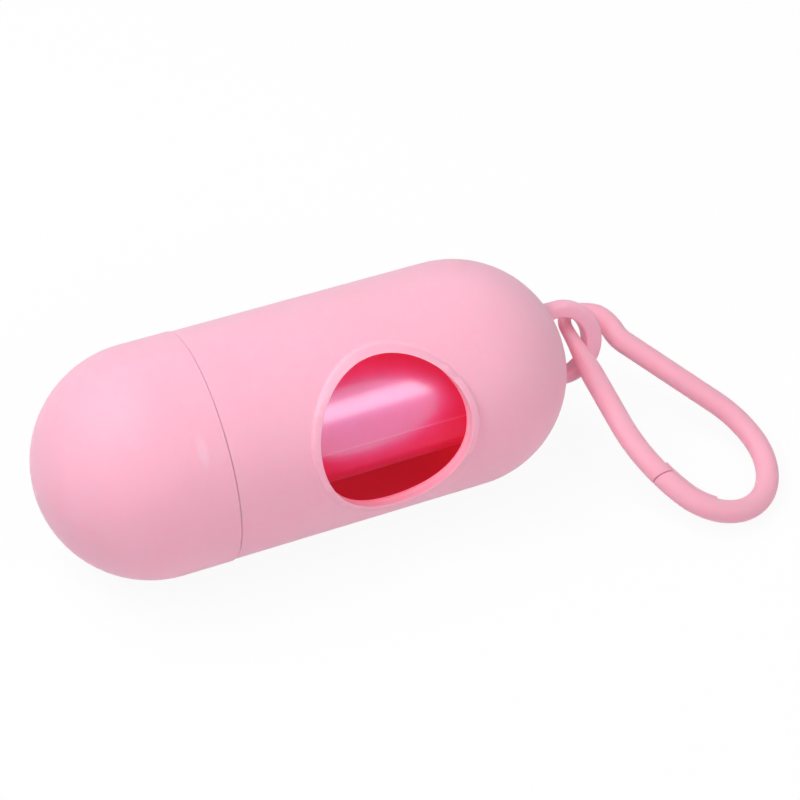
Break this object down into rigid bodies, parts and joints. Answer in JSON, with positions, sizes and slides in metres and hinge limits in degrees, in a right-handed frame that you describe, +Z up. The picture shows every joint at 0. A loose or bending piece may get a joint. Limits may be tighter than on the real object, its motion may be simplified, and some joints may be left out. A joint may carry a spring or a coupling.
{
  "type": "dog poop bag dispenser",
  "caption": "Two-part plastic capsule dispenser holding a roll of dog waste bags, with a round window and a sprung clip through its ear.",
  "frame": {"origin": "middle of the capsule on its axis, in the middle of the bag roll", "axes": "+X along the capsule to the ear, +Z up as it lies, window to -Y"},
  "size_m": [0.1149, 0.052, 0.0362],
  "materials": {
    "shell_plastic": "satin",
    "clip_plastic": "satin",
    "core_card": "matt cardboard",
    "bag_film": "thin crinkled film"
  },
  "bodies": {
    "body": {"body_shell": "shell_plastic"},
    "cap": {"cap": "shell_plastic"},
    "roll": {"roll_core": "core_card", "bag_roll": "bag_film", "first_bag": "bag_film"},
    "clip": {"clip": "clip_plastic"},
    "gate": {"clip_gate": "clip_plastic"}
  },
  "joints": [
    {"name": "cap_pull", "type": "slide", "parent": "body", "child": "cap", "axis": [-1, 0, 0], "range_m": [0, 0.04]},
    {"name": "roll_spin", "type": "hinge", "parent": "body", "child": "roll", "pos_m": [0, 0, 0], "axis": [1, 0, 0], "continuous": true},
    {"name": "clip_swing", "type": "hinge", "parent": "body", "child": "clip", "pos_m": [0.05039, -0.00063, 0], "axis": [0.0928, 0.0603, 0.9939], "range_deg": [-10, 75]},
    {"name": "gate_flex", "type": "hinge", "parent": "clip", "child": "gate", "pos_m": [0.04621, -0.00302, -0.00094], "axis": [0.298, -0.2991, 0.9065], "range_deg": [0, 14], "stiffness_Nm_per_rad": 0.3}
  ]
}
